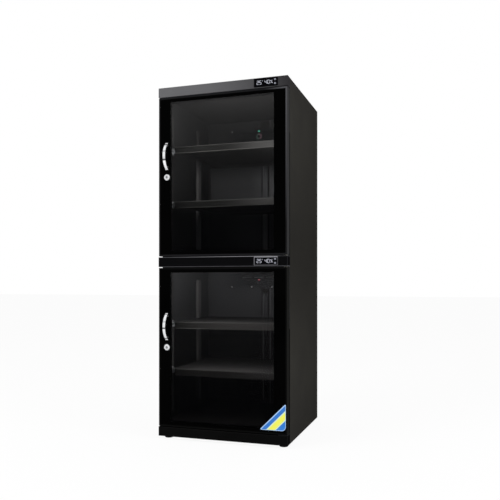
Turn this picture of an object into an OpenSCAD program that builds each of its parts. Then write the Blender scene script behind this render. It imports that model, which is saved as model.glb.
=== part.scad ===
// Two-door electronic dry cabinet for cameras and lenses, in millimetres.
// X runs to the right as seen from the front, Y to the back and Z up.
// The origin lies on the floor, under the middle of the whole outline.

/* [Cabinet] */
// Width of the cabinet
body_w = 600; // [520:10:760]
// Height of the cabinet without its feet
body_h = 1565; // [1500:5:1800]
// Depth of the sheet-steel shell behind the doors
shell_d = 563; // [500:1:700]
// How far doors and fascias stand in front of the shell
door_zone = 42; // [40:1:50]
// Thickness of the shell's sheet steel
sheet = 1.2; // [0.8:0.1:1.6]
// Width of the landing flange down each side of the door openings
side_flange = 26; // [24:1:30]
// Width of the flange that the back panel is screwed to
rear_flange = 14; // [12:1:20]
// Height of the hollow top box
top_box_h = 20; // [16:1:30]

/* [Fascias] */
// Height of the plinth
plinth_h = 42; // [38:1:60]
// Height of the middle fascia
middle_fascia_h = 44; // [42:1:60]
// Height of the top fascia
top_fascia_h = 43; // [42:1:60]
// Gap between each door and its fascias
fascia_gap = 4; // [4:0.5:6]
// Wall of the fascias
fascia_wall = 1.5; // [1.2:0.1:2]
// Rounding of the fascias' long front edges
fascia_round = 3; // [2:0.5:5]

/* [Doors] */
// How far each door stays inside the cabinet's width, per side
door_inset = 2; // [1:0.5:4]
// Depth of the folded door frame
door_depth = 34; // [32:0.5:36]
// Wall of the door frame
door_wall = 1.5; // [1.2:0.1:2]
// Width of the steel rim that shows around the glass
rim_w = 7; // [6:0.5:10]
// Width of the frame behind the glass, left and right
stile_w = 50; // [48:1:60]
// Width of the frame behind the glass, top and bottom
rail_w = 21; // [20:1:30]
// Thickness of the door glass
glass_t = 4; // [3:0.5:5]
// Height of the landing strip above and below each door opening
sill_w = 14; // [13:1:18]
// Width of the door gasket
gasket_w = 8; // [6:0.5:9]
// Gasket inset from the door's left and right edges
gasket_side = 12; // [11.5:0.5:14]
// Gasket inset from the door's top and bottom edges
gasket_end = 3; // [2:0.5:4]

/* [Hinges] */
// Pivot axis from the door's right edge
pivot_inset = 11; // [10:0.5:11.5]
// Pivot axis behind the door's front
pivot_depth = 17; // [16:0.5:20]
// Thickness of the hinge plates
hinge_t = 2.5; // [2:0.1:2.6]
// Width of the hinge plates
hinge_w = 40; // [30:1:50]
// Radius of the hinge pins
pin_r = 3; // [2.5:0.1:3.5]
// Length of each hinge pin below or above its plate
pin_l = 14; // [10:0.5:18]

/* [Handles and locks] */
// Handle and lock axis from the door's left edge
grip_inset = 40; // [38:0.5:42]
// Handle centre above the door's bottom edge
handle_rise = 447; // [300:1:520]
// Overall length of the bow handle
handle_l = 120; // [100:1:140]
// Width of the handle's strap
handle_w = 12; // [10:0.5:16]
// Thickness of the handle's strap
handle_t = 6; // [5:0.5:8]
// How far the handle stands out from the glass
handle_reach = 33; // [28:1:40]
// Lock centre above the door's bottom edge
lock_rise = 354; // [250:1:370]
// Radius of the lock's rosette
rosette_r = 14; // [12:0.5:16]
// Radius of the lock barrel
barrel_r = 8; // [7.5:0.1:9]
// Radius of the turning plug
plug_r = 5.5; // [5:0.1:6]
// Length of the cam from the plug's axis
cam_l = 30; // [26:0.5:34]

/* [Displays] */
// Display centre from the cabinet's right side
display_inset = 95.5; // [80:0.5:150]
// Width of the display housing
display_w = 100; // [90:1:120]
// Height of the display housing
display_h = 31; // [28:0.5:34]
// Depth of the display housing behind the fascia's front
display_d = 18; // [16:1:30]
// Travel of each push button
button_travel = 0.8; // [0.5:0.1:1]

/* [Shelves] */
// Gap between each shelf's side wings and the pilasters
shelf_gap = 15.5; // [12:0.5:18]
// Depth of each shelf
shelf_d = 490; // [420:1:600]
// Distance from the landing plane to the shelf's front
shelf_front = 43; // [40:1:60]
// Height of the shelf's front lip
lip_h = 30; // [20:1:40]
// Slots from the topmost down to the one that holds the upper compartment's top shelf
shelf_a_slot_down = 4; // [3:1:5]
// Slot that holds the upper compartment's bottom shelf
shelf_b_slot = 5; // [3:1:7]
// Slots from the topmost down to the one that holds the lower compartment's top shelf
shelf_c_slot_down = 5; // [4:1:6]
// Slot that holds the lower compartment's bottom shelf
shelf_d_slot = 5; // [3:1:7]

/* [Pilasters] */
// Width of each slotted pilaster
pilaster_w = 33; // [28:1:40]
// How far a pilaster stands off the side panel
pilaster_d = 11.3; // [9:0.1:13]
// How much shorter each pilaster is than its door
pilaster_short = 96; // [80:1:104]
// Foot of the upper pilasters above the upper door's bottom edge
pilaster_rise_upper = 52; // [40:1:60]
// Foot of the lower pilasters above the lower door's bottom edge
pilaster_rise_lower = 44; // [40:1:60]
// Front pilasters behind the landing plane
pilaster_front = 58; // [50:1:80]
// Rear pilasters behind the landing plane
pilaster_rear = 396; // [340:1:420]
// Spacing of the pilaster slots
slot_pitch = 36; // [34:1:36]

/* [Drying units] */
// Width of the drying unit's housing
dryer_w = 212; // [200:1:240]
// Height of the drying unit's housing
dryer_h = 58; // [56:1:70]
// Depth of the drying unit's housing
dryer_d = 40; // [36:1:50]
// Upper unit's centre below the upper compartment's ceiling
dryer_drop_upper = 87.5; // [60:0.5:110]
// Lower unit's centre below the lower compartment's ceiling
dryer_drop_lower = 41; // [38:0.5:60]
// Travel of the shutter
shutter_travel = 6; // [5:0.5:7]

/* [Feet] */
// Radius of the rubber feet
foot_r = 19; // [16:0.5:24]
// Height of the rubber feet
foot_h = 14; // [8:0.5:20]
// Feet centres from the cabinet's sides
foot_inset = 30; // [26:1:60]
// Front feet centres behind the landing plane
foot_front = 8; // [8:1:60]
// Rear feet centres in front of the cabinet's back
foot_rear = 40; // [26:1:80]

/* [Hidden] */
$fn = 48;

// Shared clearances and the overrun of every cut
seam = 0.2;
play = 0.3;
press = 0.05;
over = 1;

// Heights from the plinth's bottom edge
half_w = body_w / 2;
inner_w = half_w - sheet;
door_h = (body_h - plinth_h - middle_fascia_h - top_fascia_h - 4 * fascia_gap) / 2;
lower_door_z = plinth_h + fascia_gap;
middle_fascia_z = lower_door_z + door_h + fascia_gap;
upper_door_z = middle_fascia_z + middle_fascia_h + fascia_gap;
top_fascia_z = upper_door_z + door_h + fascia_gap;
door_zs = [upper_door_z, lower_door_z];

// The whole outline runs from the handles to the screw heads and covers at the back
vent_reach = 6;
landing_y = -(shell_d + vent_reach - door_zone - handle_reach) / 2;
back_in = shell_d - sheet;
box_back = back_in - sheet - seam;

// Hollow boxes and their landing strips
sill_step = 4;
base_top = lower_door_z + sill_w - sill_step;
deck_bottom = lower_door_z + door_h - sill_w + sill_step;
deck_top = upper_door_z + sill_w - sill_step;
ceiling_z = body_h - top_box_h;
strip_half = half_w - side_flange - seam;
box_half = inner_w - seam;

// Doors
door_half = half_w - door_inset;
front_y = -door_zone;
door_back = front_y + door_depth;
glass_half = door_half - rim_w - play;
glass_round = 3;
chamfer = 1.2;
end_round = 1.5;
pivot_x = door_half - pivot_inset;
pivot_y = front_y + pivot_depth;
grip_x = -door_half + grip_inset;
pin_play = 0.05;
bush_wall = 2;
bush_r = pin_r + bush_wall;
bush_flange_w = 3;
bush_flange_r = bush_r + bush_flange_w;
bush_flange_t = fascia_gap - hinge_t - play;
bush_l = 12;

// Handle: an arc of a ring whose chord lies on the glass
handle_half = handle_l / 2;
bow_r = (handle_half * handle_half + handle_reach * handle_reach) / (2 * handle_reach);
handle_pad_l = 15;
handle_pad_t = 3.5;
screw_r = 2;
screw_head_r = 3.8;
screw_head_t = 2.4;
handle_screw_z = handle_half - handle_pad_l / 2;

// Lock
rosette_t = 3.5;
rosette_step = 1.5;
barrel_end = -2;
tail_w = 7;
cam_gap = 2;
cam_y = sheet + cam_gap;
cam_t = 2.5;
cam_w = 14;
cam_screw_r = 6;
cam_screw_t = 2;
nut_r = 12.7;
nut_t = 4;
strike_t = 1.5;
strike_h = 50;
strike_w = 20;
key_w = 1.8;
key_l = 7.5;
key_d = 12;

// Displays
display_x = half_w - display_inset;
bezel_w = 3;
bezel_t = 1.5;
bezel_round = 3;
display_wall = 1.5;
bezel_y = front_y - bezel_t;
face_back = front_y + display_wall;
window_w = 76;
window_h = 24;
window_t = 1.3;
window_ledge = 2;
window_x = -9;
button_x = 41;
button_z = 8.5;
button_w = 8;
button_h = 7;
button_round = 2;
button_proud = 1.2;
button_flange = 1;
board_t = 1.6;
board_back = 3;
switch_w = 6;
switch_t = 2;
boss_r = 2;

// Shelves and pilasters
wing_w = 14;
side_fold = 15;
lip_return = 10;
shelf_round = 2;
slot_w = 14;
slot_h = 4;
slot_first = 12;
pilaster_foot = 6;
pilaster_x = inner_w - pilaster_d;
shelf_half = pilaster_x - shelf_gap - wing_w;
pilaster_l = door_h - pilaster_short;
slot_count = floor((pilaster_l - 2 * slot_first) / slot_pitch) + 1;
clip_rise = 9.8;
clip_t = 1.5;
clip_tongue = 24;
clip_tongue_t = 2;
clip_w = 20;
clip_tab = 8;
clip_drop = 26;
hook_w = 12;
hook_h = 3;

// Drying units
dryer_zs = [ceiling_z - dryer_drop_upper, deck_bottom - dryer_drop_lower];
dryer_turns = [1, -1];
plate_w = 380;
plate_t = 1.5;
plate_near = 34;
plate_far = 47;
plate_screw = 38;
plate_screw_left = 163;
plate_screw_pitch = 111;
plate_screw_count = 4;
dryer_wall = 2;
dryer_round = 4;
vent_slot_w = 56;
vent_slot_h = 5;
vent_slot_pitch = 66;
vent_slot_z = 12;
ring_z = -6;
ring_r = 14;
ring_hole_r = 11;
ring_t = 3;
red_lamp_z = 0;
green_lamp_z = 21.5;
lamp_r = 3;
lamp_proud = 2;
shutter_t = 1.5;
shutter_edge = 1;
shutter_bar = 4;
block_w = 150;
block_h = 20;
block_d = 18;
cradle_h = 5;
sensor_x = 150;
sensor_w = 30;
sensor_h = 22;
sensor_d = 12;

// Rear covers, inlet and supply
cover_w = 240;
cover_h = 78;
cover_t = 1.2;
louvre_count = 4;
louvre_pitch = 16;
louvre_w = 190;
louvre_h = 9;
exhaust_w = 200;
exhaust_h = 40;
rib_x = 22;
rib_w = 36;
rib_d = 3;
rib_end = 24;
inlet_inset = 100;
inlet_x = -half_w + inlet_inset;
inlet_w = 54;
inlet_h = 28;
inlet_t = 3;
inlet_body_w = 28;
inlet_body_h = 20.5;
inlet_body_d = 24;
inlet_mouth_w = 24.5;
inlet_mouth_h = 16.6;
inlet_mouth_d = 18;
inlet_pin_w = 4;
inlet_pin_t = 2;
inlet_pin_l = 15;
inlet_pin_x = 7;
inlet_pin_z = 2;
inlet_screw = 20.5;
inlet_z = (deck_bottom + deck_top) / 2;
supply_inset = 170;
supply_x = -half_w + supply_inset;
supply_w = 150;
supply_d = 90;
supply_h = 38;
supply_back = 100;
supply_y = shell_d - supply_d - supply_back;
back_screw_count = 6;
back_screw_r = 1.7;
back_head_r = 4;
back_head_t = 2.2;
back_screw_end = 60;

// Feet
foot_taper = 3;
foot_top_r = foot_r - foot_taper;
foot_round = 3;
stud_r = 4;
stud_l = 12;

// Puts a piece drawn from the landing plane and the plinth's edge in its place
module place() {
    translate([0, landing_y, foot_h]) children();
}

module both_sides() {
    children();
    mirror([1, 0, 0]) children();
}

// A block between two corners
module block(low, high) {
    translate(low) cube(high - low);
}

// Sweeps an outline drawn in Y and Z along X
module along_x(x0, x1) {
    translate([x0, 0, 0]) rotate([90, 0, 90]) linear_extrude(x1 - x0) children();
}

// Sweeps an outline drawn in X and Z along Y
module along_y(y0, y1) {
    translate([0, y1, 0]) rotate([90, 0, 0]) linear_extrude(y1 - y0) children();
}

// A round bar or bore along Y
module rod_y(r, y0, y1) {
    translate([0, y1, 0]) rotate([90, 0, 0]) cylinder(r = r, h = y1 - y0);
}

// A rectangle around the origin with true round corners
module round_rect(w, h, r) {
    square([w - 2 * r, h], center = true);
    square([w, h - 2 * r], center = true);
    for (x = [-1, 1], y = [-1, 1]) translate([x * (w / 2 - r), y * (h / 2 - r)]) circle(r);
}

// An outline whose first two corners, the front ones, are round: d deep and w wide
module round_front(d, w, r) {
    translate([r, 0]) square([d - r, w]);
    translate([0, r]) square([r, w - 2 * r]);
    for (side = [r, w - r]) translate([r, side]) circle(r);
}

// A block across the front whose front edges are round: the long ones by r, the ends by less
module front_block(half, d, h, r) {
    intersection() {
        along_x(-half, half) translate([front_y, 0]) round_front(d, h, r);
        translate([half, front_y, 0]) rotate([0, 0, 90]) linear_extrude(h)
            round_front(d, 2 * half, end_round);
    }
}

// A frame-shaped block: half width and heights outside, with the insets of its inner edge
module ring_block(half, z0, z1, inset_x, inset_z, y0, y1) {
    difference() {
        block([-half, y0, z0], [half, y1, z1]);
        block([-half + inset_x, y0 - over, z0 + inset_z], [half - inset_x, y1 + over, z1 - inset_z]);
    }
}

// Heights of the six screws down each edge of the back panel
function back_screw_zs() = [for (i = [0 : back_screw_count - 1])
    back_screw_end + i * (body_h - 2 * back_screw_end) / (back_screw_count - 1)];

// Height of a shelf's underside, from its pilasters' foot and its slot
function shelf_z(foot, slot) = foot + slot_first + slot * slot_pitch + clip_rise;
function upper_foot() = upper_door_z + pilaster_rise_upper;
function lower_foot() = lower_door_z + pilaster_rise_lower;
function shelf_zs() = [
    shelf_z(upper_foot(), slot_count - 1 - shelf_a_slot_down), shelf_z(upper_foot(), shelf_b_slot),
    shelf_z(lower_foot(), slot_count - 1 - shelf_c_slot_down), shelf_z(lower_foot(), shelf_d_slot)];
function pilaster_mid(y) = y + pilaster_w / 2;

// Side panel: one sheet folded into a landing flange in front and a screw flange behind
module side_panel() {
    difference() {
        linear_extrude(body_h) polygon([
            [half_w, 0], [half_w, back_in], [half_w - rear_flange, back_in],
            [half_w - rear_flange, back_in - sheet], [inner_w, back_in - sheet], [inner_w, sheet],
            [half_w - side_flange, sheet], [half_w - side_flange, 0]
        ]);
        for (z = back_screw_zs()) translate([half_w - rear_flange / 2, 0, z])
            rod_y(back_screw_r + press, back_in - sheet - over, back_in + over);
    }
}

module right_side_panel() {
    color("#34322f") place() side_panel();
}

module left_side_panel() {
    color("#34322f") place() mirror([1, 0, 0]) side_panel();
}

// A hollow box across the shell, with a landing strip in front
module cross_box(z0, z1, strip0, strip1) {
    along_x(-box_half, box_half) translate([sheet + seam, z0]) difference() {
        square([box_back - sheet - seam, z1 - z0]);
        translate([sheet, sheet]) square([box_back - 3 * sheet - seam, z1 - z0 - 2 * sheet]);
    }
    block([-strip_half, 0, strip0], [strip_half, sheet + seam, strip1]);
}

module top_panel() {
    color("#34322f") place() cross_box(ceiling_z, body_h, upper_door_z + door_h - sill_w, body_h);
}

module middle_deck() {
    color("#2f2f2e") place() difference() {
        cross_box(deck_bottom, deck_top, lower_door_z + door_h - sill_w, upper_door_z + sill_w);
        translate([inlet_x, 0, inlet_z]) block(
            [-inlet_body_w / 2 - play, box_back - 2 * sheet, -inlet_body_h / 2 - play],
            [inlet_body_w / 2 + play, box_back + over, inlet_body_h / 2 + play]);
    }
}

module bottom_panel() {
    color("#2f2f2e") place() difference() {
        cross_box(0, base_top, 0, lower_door_z + sill_w);
        foot_places() translate([0, 0, -over]) cylinder(r = stud_r + press, h = sheet + 2 * over);
    }
}

// Back panel with a pressed rib in each compartment, exhaust slots and the inlet's cut-out
module back_panel() {
    margin = sheet;
    ribs = [[base_top + rib_end, dryer_zs[1] - plate_far - rib_end],
        [deck_top + rib_end, dryer_zs[0] - plate_near - rib_end]];
    color("#2c2b2a") place() difference() {
        union() {
            block([-half_w + margin, back_in, margin], [half_w - margin, shell_d, body_h - margin]);
            for (rib = ribs) block([rib_x - rib_w / 2, back_in - rib_d, rib[0]],
                [rib_x + rib_w / 2, back_in, rib[1]]);
        }
        for (rib = ribs) block([rib_x - rib_w / 2 + sheet, back_in - rib_d + sheet, rib[0] + sheet],
            [rib_x + rib_w / 2 - sheet, shell_d + over, rib[1] - sheet]);
        for (z = dryer_zs) translate([0, 0, z]) block(
            [-exhaust_w / 2, back_in - over, -exhaust_h / 2],
            [exhaust_w / 2, shell_d + over, exhaust_h / 2]);
        translate([inlet_x, 0, inlet_z]) block(
            [-inlet_body_w / 2 - play, back_in - over, -inlet_body_h / 2 - play],
            [inlet_body_w / 2 + play, shell_d + over, inlet_body_h / 2 + play]);
        for (x = [-1, 1]) translate([inlet_x + x * inlet_screw, 0, inlet_z])
            rod_y(back_screw_r + press, back_in - over, shell_d + over);
        for (z = back_screw_zs(), x = [-1, 1]) translate([x * (half_w - rear_flange / 2), 0, z])
            rod_y(back_screw_r + play, back_in - over, shell_d + over);
    }
}

// Fascia: a trough open to the back, its long front edges rounded
module fascia(h) {
    difference() {
        front_block(half_w, door_zone, h, fascia_round);
        block([-half_w + fascia_wall, front_y + fascia_wall, fascia_wall],
            [half_w - fascia_wall, over, h - fascia_wall]);
    }
}

// The cut-out that a display housing goes through
module display_hole() {
    translate([display_x, 0, 0]) along_y(front_y - over, front_y + fascia_wall + over)
        square([display_w + 2 * seam, display_h + 2 * seam], center = true);
}

module top_fascia() {
    color("#454443") place() translate([0, 0, top_fascia_z]) difference() {
        fascia(top_fascia_h);
        translate([0, 0, top_fascia_h / 2]) display_hole();
    }
}

module middle_fascia() {
    color("#1c1c1c") place() translate([0, 0, middle_fascia_z]) difference() {
        fascia(middle_fascia_h);
        translate([0, 0, middle_fascia_h / 2]) display_hole();
    }
}

module plinth() {
    color("#1a1a1a") place() fascia(plinth_h);
}

module foot_places() {
    for (x = [-1, 1], y = [foot_front, shell_d - foot_rear])
        translate([x * (half_w - foot_inset), y, 0]) children();
}

// Rubber foot with a rounded tread and a moulded-in stud
module rubber_feet() {
    color("#101010") place() foot_places() union() {
        rotate_extrude() {
            polygon([[0, 0], [foot_top_r, 0], [foot_r, -foot_h + foot_round],
                [foot_r - foot_round, -foot_h], [0, -foot_h]]);
            intersection() {
                translate([foot_r - foot_round, -foot_h + foot_round]) circle(foot_round);
                translate([0, -foot_h]) square([foot_r, foot_h]);
            }
        }
        cylinder(r = stud_r, h = stud_l);
    }
}

// Slotted hat-section pilaster, its back to the side panel
module pilaster() {
    difference() {
        linear_extrude(pilaster_l) difference() {
            union() {
                translate([pilaster_x, 0]) square([pilaster_d, pilaster_w]);
                translate([inner_w - sheet, -pilaster_foot])
                    square([sheet, pilaster_w + 2 * pilaster_foot]);
            }
            translate([pilaster_x + sheet, sheet]) square([pilaster_d, pilaster_w - 2 * sheet]);
        }
        for (i = [0 : slot_count - 1])
            translate([pilaster_x, pilaster_w / 2, slot_first + i * slot_pitch])
                cube([3 * sheet, slot_w, slot_h], center = true);
    }
}

module pilasters() {
    color("#3c3b39") place() both_sides() for (y = [pilaster_front, pilaster_rear]) {
        translate([-press, y, upper_foot()]) pilaster();
        translate([-press, y, lower_foot()]) pilaster();
    }
}

// Shelf clip: a folded bracket with two gussets, hooked into one slot
module shelf_clip() {
    block([pilaster_x - clip_t, -clip_w / 2, -clip_drop], [pilaster_x, clip_w / 2, clip_tab]);
    block([pilaster_x - clip_tongue, -clip_w / 2, -clip_tongue_t],
        [pilaster_x - clip_t, clip_w / 2, 0]);
    for (y = [-clip_w / 2, clip_w / 2 - clip_t]) along_y(y, y + clip_t) polygon([
        [pilaster_x - clip_t, -clip_tongue_t], [pilaster_x - clip_tongue, -clip_tongue_t],
        [pilaster_x - clip_t, -clip_drop]]);
    block([pilaster_x, -hook_w / 2, -clip_rise - hook_h / 2],
        [pilaster_x + 2 * sheet, hook_w / 2, -clip_rise + hook_h / 2]);
}

module shelf_clips() {
    color("#d8dadc") place() both_sides() for (z = shelf_zs(), y = [pilaster_front, pilaster_rear])
        translate([-press, pilaster_mid(y), z]) shelf_clip();
}

// Shelf tray, drawn from the middle of its front edge on its underside
module shelf(z) {
    half = shelf_half;
    color("#4a4946") place() translate([0, shelf_front, z]) {
        block([-half - wing_w, shelf_round, 0], [half + wing_w, shelf_d, sheet]);
        along_x(-half, half) union() {
            difference() {
                union() {
                    translate([0, sheet - lip_h]) square([sheet, lip_h - shelf_round]);
                    translate([shelf_round, sheet - shelf_round]) circle(shelf_round);
                }
                translate([sheet, -shelf_round]) square([shelf_round * 2, shelf_round]);
            }
            translate([0, sheet - lip_h]) square([lip_return, sheet]);
        }
        for (x = [-half, half - sheet]) block([x, lip_return, -side_fold], [x + sheet, shelf_d, 0]);
        block([-half, shelf_d - sheet, -side_fold], [half, shelf_d, 0]);
    }
}

// The four places where a door turns: at the top and bottom of each opening
module hinge_places() {
    for (z = door_zs) {
        translate([pivot_x, pivot_y, z]) children();
        translate([pivot_x, pivot_y, z + door_h]) mirror([0, 0, 1]) children();
    }
}

// Flat plate against the fascia, with a round nose about the pivot
module hinge_plates() {
    edge_x = half_w - door_inset - pivot_x;
    color("#8d8f91") place() hinge_places() difference() {
        translate([0, 0, -fascia_gap]) union() {
            cylinder(r = pivot_inset, h = hinge_t);
            block([edge_x - hinge_w, -pivot_inset, 0], [0, 0, hinge_t]);
            block([edge_x - hinge_w, 0, 0], [edge_x, -pivot_y, hinge_t]);
        }
        translate([0, 0, -fascia_gap - over]) cylinder(r = pin_r + press, h = hinge_t + 2 * over);
    }
}

// Pins riveted in the plates; each reaches into the door's bush
module hinge_pins() {
    color("#b9bbbd") place() hinge_places() translate([0, 0, -fascia_gap]) union() {
        cylinder(r = pin_r, h = hinge_t + pin_l - chamfer);
        translate([0, 0, hinge_t + pin_l - chamfer])
            cylinder(r1 = pin_r, r2 = pin_r - chamfer, h = chamfer);
    }
}

// Flanged bushes that line the holes in the door frame
module hinge_bushes(z) {
    color("#d9d4c6") place() for (end = [0, 1]) translate([pivot_x, pivot_y, z + end * door_h])
        mirror([0, 0, end]) difference() {
            union() {
                translate([0, 0, -bush_flange_t]) cylinder(r = bush_flange_r, h = bush_flange_t);
                cylinder(r = bush_r, h = bush_l);
            }
            translate([0, 0, -bush_flange_t - over])
                cylinder(r = pin_r + pin_play, h = bush_l + bush_flange_t + 2 * over);
        }
}

// Plates that back the landing flange where the cams close
module strike_plates() {
    color("#a4a6a8") place() for (z = door_zs) translate([-inner_w + seam, sheet, z + lock_rise])
        block([0, 0, -strike_h / 2], [strike_w, strike_t, strike_h / 2]);
}

// Door frame: a rim round the glass, a seat behind it and hollow stiles and rails. The rails
// are pieces of their own, welded in between the stiles
module door_frame(z) {
    color("#4b4a48") place() translate([0, 0, z]) difference() {
        front_block(door_half, door_depth, door_h, end_round);
        // Opening behind the glass
        block([-door_half + stile_w, front_y - over, rail_w],
            [door_half - stile_w, door_back + over, door_h - rail_w]);
        // Seat of the glass
        block([-door_half + rim_w, front_y - over, rim_w],
            [door_half - rim_w, front_y + glass_t, door_h - rim_w]);
        // Hollow of the stiles and rails
        translate([0, 0, door_wall]) ring_block(door_half - door_wall, 0, door_h - 2 * door_wall,
            stile_w - 2 * door_wall, rail_w - 2 * door_wall,
            front_y + glass_t + door_wall, door_back - door_wall);
        translate([0, 0, door_wall]) ring_block(door_half - door_wall, 0, door_h - 2 * door_wall,
            rim_w - 2 * door_wall, rim_w - 2 * door_wall,
            front_y + chamfer + door_wall, front_y + glass_t + 2 * door_wall);
        // Hairline joints between stiles and rails
        for (x = [-door_half + stile_w, door_half - stile_w - press])
            block([x, front_y - over, -over], [x + press, door_back + over, door_h + over]);
        // Bores for the bushes, the lock and the handle's screws
        for (end = [0, 1]) translate([pivot_x, pivot_y, end * (door_h - door_wall) - over])
            cylinder(r = bush_r + press, h = door_wall + 2 * over);
        translate([grip_x, 0, lock_rise]) rod_y(barrel_r + press, front_y, door_back + over);
        for (s = [-1, 1]) translate([grip_x, 0, handle_rise + s * handle_screw_z]) {
            rod_y(screw_r + press, front_y, front_y + glass_t + 2 * door_wall);
            rod_y(screw_head_r + play, door_back - 2 * door_wall, door_back + over);
        }
    }
}

module door_glass(z) {
    h = door_h - 2 * (rim_w + play);
    color("#0a0a0ab0") place() translate([0, 0, z]) difference() {
        translate([0, 0, door_h / 2]) along_y(front_y, front_y + glass_t)
            round_rect(2 * glass_half, h, glass_round);
        translate([grip_x, 0, lock_rise])
            rod_y(barrel_r + play, front_y - over, front_y + glass_t + over);
        for (s = [-1, 1]) translate([grip_x, 0, handle_rise + s * handle_screw_z])
            rod_y(screw_r + play, front_y - over, front_y + glass_t + over);
    }
}

// Magnetic gasket: a flat foot on the frame and a narrower bulb towards the shell
module door_gasket(z) {
    foot_t = (door_zone - door_depth) / 2;
    step = gasket_w / 5;
    half = door_half - gasket_side;
    color("#161616") place() translate([0, 0, z]) {
        ring_block(half, gasket_end, door_h - gasket_end, gasket_w, gasket_w,
            door_back, door_back + foot_t);
        ring_block(half - step, gasket_end + step, door_h - gasket_end - step,
            gasket_w - 2 * step, gasket_w - 2 * step, door_back + foot_t, -play);
    }
}

// Bow handle: an arc of a flat strap that ends in two pads on the glass
module door_handle(z) {
    color("#d5d7d9") place() translate([grip_x, front_y, z + handle_rise]) difference() {
        along_x(-handle_w / 2, handle_w / 2) {
            difference() {
                translate([bow_r - handle_reach, 0]) circle(bow_r, $fn = 96);
                translate([bow_r - handle_reach, 0]) circle(bow_r - handle_t, $fn = 96);
                translate([0, -bow_r * 2]) square([bow_r * 3, bow_r * 4]);
            }
            for (s = [-1, 1]) translate([-handle_pad_t, s * handle_screw_z - handle_pad_l / 2])
                square([handle_pad_t, handle_pad_l]);
        }
        for (s = [-1, 1]) translate([0, 0, s * handle_screw_z])
            rod_y(screw_r + press, -handle_pad_t - screw_r, over);
    }
}

// Handle screws behind the seat and the lock's hexagon nut
module door_fasteners(z) {
    seat_back = front_y + glass_t + door_wall;
    color("#9da0a3") place() {
        for (s = [-1, 1]) translate([grip_x, 0, z + handle_rise + s * handle_screw_z]) {
            rod_y(screw_r, front_y - handle_pad_t, seat_back + press);
            rod_y(screw_head_r, seat_back, seat_back + screw_head_t);
        }
        translate([grip_x, 0, z + lock_rise]) difference() {
            translate([0, door_back + nut_t, 0]) rotate([90, 0, 0])
                cylinder(r = nut_r, h = nut_t, $fn = 6);
            rod_y(barrel_r + press, door_back - over, door_back + nut_t + over);
        }
    }
}

// Lock barrel with its turned rosette in front of the glass
module lock_barrel(z) {
    color("#cfd1d3") place() translate([grip_x, 0, z + lock_rise])
        rotate([-90, 0, 0]) rotate_extrude($fn = 64) polygon([
            [plug_r + pin_play, front_y - rosette_t], [rosette_r - rosette_step, front_y - rosette_t],
            [rosette_r, front_y - rosette_t + rosette_step], [rosette_r, front_y],
            [barrel_r, front_y], [barrel_r, barrel_end], [plug_r + pin_play, barrel_end]
        ]);
}

// Turning plug with its keyway in front and a square tail behind
module lock_plug(z) {
    color("#b6b8ba") place() translate([grip_x, 0, z + lock_rise]) difference() {
        union() {
            rod_y(plug_r, front_y - rosette_t, barrel_end);
            block([-tail_w / 2, barrel_end, -tail_w / 2], [tail_w / 2, cam_y + cam_t, tail_w / 2]);
        }
        block([-key_w / 2, front_y - rosette_t - over, -key_l / 2],
            [key_w / 2, front_y - rosette_t + key_d, key_l / 2]);
    }
}

// Cam on the plug's tail, hanging down while the door is unlocked, and its screw
module lock_cam(z) {
    color("#9fa1a3") place() translate([grip_x, 0, z + lock_rise]) {
        difference() {
            along_y(cam_y, cam_y + cam_t) {
                circle(cam_w / 2);
                translate([-cam_w / 2, -cam_l + cam_w / 2]) square([cam_w, cam_l - cam_w / 2]);
                translate([0, -cam_l + cam_w / 2]) circle(cam_w / 2);
            }
            block([-tail_w / 2 - press, cam_y - over, -tail_w / 2 - press],
                [tail_w / 2 + press, cam_y + cam_t + over, tail_w / 2 + press]);
        }
        rod_y(cam_screw_r, cam_y + cam_t, cam_y + cam_t + cam_screw_t);
    }
}

// Display housing: bezel in front of the fascia, box behind it, drawn about its centre
module display_case(fascia_z, fascia_h) {
    color("#151618") place() translate([display_x, 0, fascia_z + fascia_h / 2]) difference() {
        union() {
            along_y(bezel_y, front_y)
                round_rect(display_w + 2 * bezel_w, display_h + 2 * bezel_w, bezel_round);
            block([-display_w / 2, front_y, -display_h / 2],
                [display_w / 2, front_y + display_d, display_h / 2]);
        }
        block([-display_w / 2 + display_wall, face_back, -display_h / 2 + display_wall],
            [display_w / 2 - display_wall, front_y + display_d + over, display_h / 2 - display_wall]);
        translate([window_x, 0, 0]) {
            block([-window_w / 2, bezel_y - over, -window_h / 2],
                [window_w / 2, bezel_y + window_t, window_h / 2]);
            block([-window_w / 2 + window_ledge, bezel_y, -window_h / 2 + window_ledge],
                [window_w / 2 - window_ledge, face_back + over, window_h / 2 - window_ledge]);
        }
        for (s = [-1, 1]) translate([button_x, 0, s * button_z])
            along_y(bezel_y - over, face_back + over)
                round_rect(button_w + 2 * seam, button_h + 2 * seam, button_round + seam);
    }
}

function display_zs() = [top_fascia_z + top_fascia_h / 2, middle_fascia_z + middle_fascia_h / 2];

module display_windows() {
    color("#08090b") place() for (z = display_zs()) translate([display_x + window_x, 0, z])
        block([-window_w / 2 + press, bezel_y + press, -window_h / 2 + press],
            [window_w / 2 - press, bezel_y + window_t, window_h / 2 - press]);
}

// Circuit boards held between the housing's walls, each with two push switches
module display_boards() {
    board_y = front_y + display_d - board_back - board_t;
    half_board_w = display_w / 2 - display_wall - press;
    half_board_h = display_h / 2 - display_wall - press;
    flange_back = face_back + play + button_flange + button_travel + play;
    color("#1f5a38") place() for (z = display_zs()) translate([display_x, 0, z]) {
        block([-half_board_w, board_y, -half_board_h], [half_board_w, board_y + board_t, half_board_h]);
        for (s = [-1, 1]) translate([button_x, 0, s * button_z]) {
            block([-switch_w / 2, board_y - switch_t, -switch_w / 2],
                [switch_w / 2, board_y, switch_w / 2]);
            rod_y(boss_r, flange_back, board_y - switch_t);
        }
    }
}

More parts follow.
